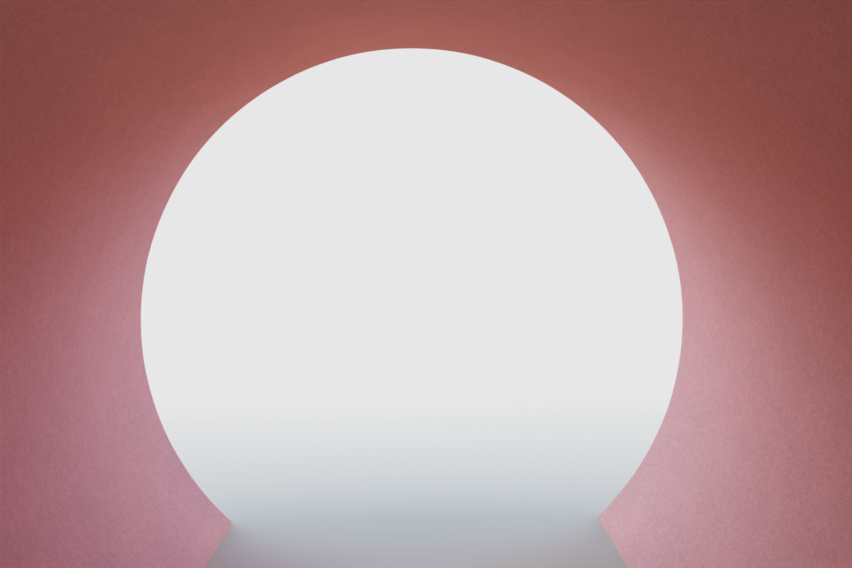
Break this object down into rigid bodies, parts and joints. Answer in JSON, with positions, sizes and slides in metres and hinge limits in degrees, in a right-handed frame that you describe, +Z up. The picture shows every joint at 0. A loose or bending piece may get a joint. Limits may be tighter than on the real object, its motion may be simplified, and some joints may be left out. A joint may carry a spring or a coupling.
{
  "type": "moon gate",
  "caption": "Free-standing rendered masonry wall block pierced by a round barrel passage, with stone coping.",
  "frame": {"origin": "on the ground, at the middle of the block's footprint", "axes": "+Z up, +Y out to the garden along the passage, +X along the wall to the right seen from the courtyard"},
  "size_m": [5.69, 2.0948, 3.2632],
  "materials": {
    "lime_render": "fine float-finished lime render",
    "coping_stone": "rubbed limestone with softened arrises",
    "mortar": "brushed lime mortar",
    "masonry": "rough sawn block"
  },
  "bodies": {
    "root": {"garden_face_render": "lime_render", "courtyard_face_render": "lime_render", "left_end_render": "lime_render", "right_end_render": "lime_render", "passage_render": "lime_render", "ring_crown": "masonry", "ring_left_foot": "masonry", "ring_right_foot": "masonry", "ring_left_1": "masonry", "ring_left_2": "masonry", "ring_left_3": "masonry", "ring_left_4": "masonry", "ring_left_5": "masonry", "ring_right_1": "masonry", "ring_right_2": "masonry", "ring_right_3": "masonry", "ring_right_4": "masonry", "ring_right_5": "masonry", "wall_left_1": "masonry", "wall_left_2": "masonry", "wall_left_3": "masonry", "wall_right_1": "masonry", "wall_right_2": "masonry", "wall_right_3": "masonry", "wall_top": "masonry", "coping_bed": "mortar", "coping_garden_1": "coping_stone", "coping_garden_2": "coping_stone", "coping_garden_3": "coping_stone", "coping_garden_4": "coping_stone", "coping_garden_5": "coping_stone", "coping_garden_6": "coping_stone", "coping_garden_7": "coping_stone", "coping_garden_8": "coping_stone", "coping_courtyard_1": "coping_stone", "coping_courtyard_2": "coping_stone", "coping_courtyard_3": "coping_stone", "coping_courtyard_4": "coping_stone", "coping_courtyard_5": "coping_stone", "coping_courtyard_6": "coping_stone", "coping_courtyard_7": "coping_stone", "coping_courtyard_8": "coping_stone"}
  },
  "joints": []
}
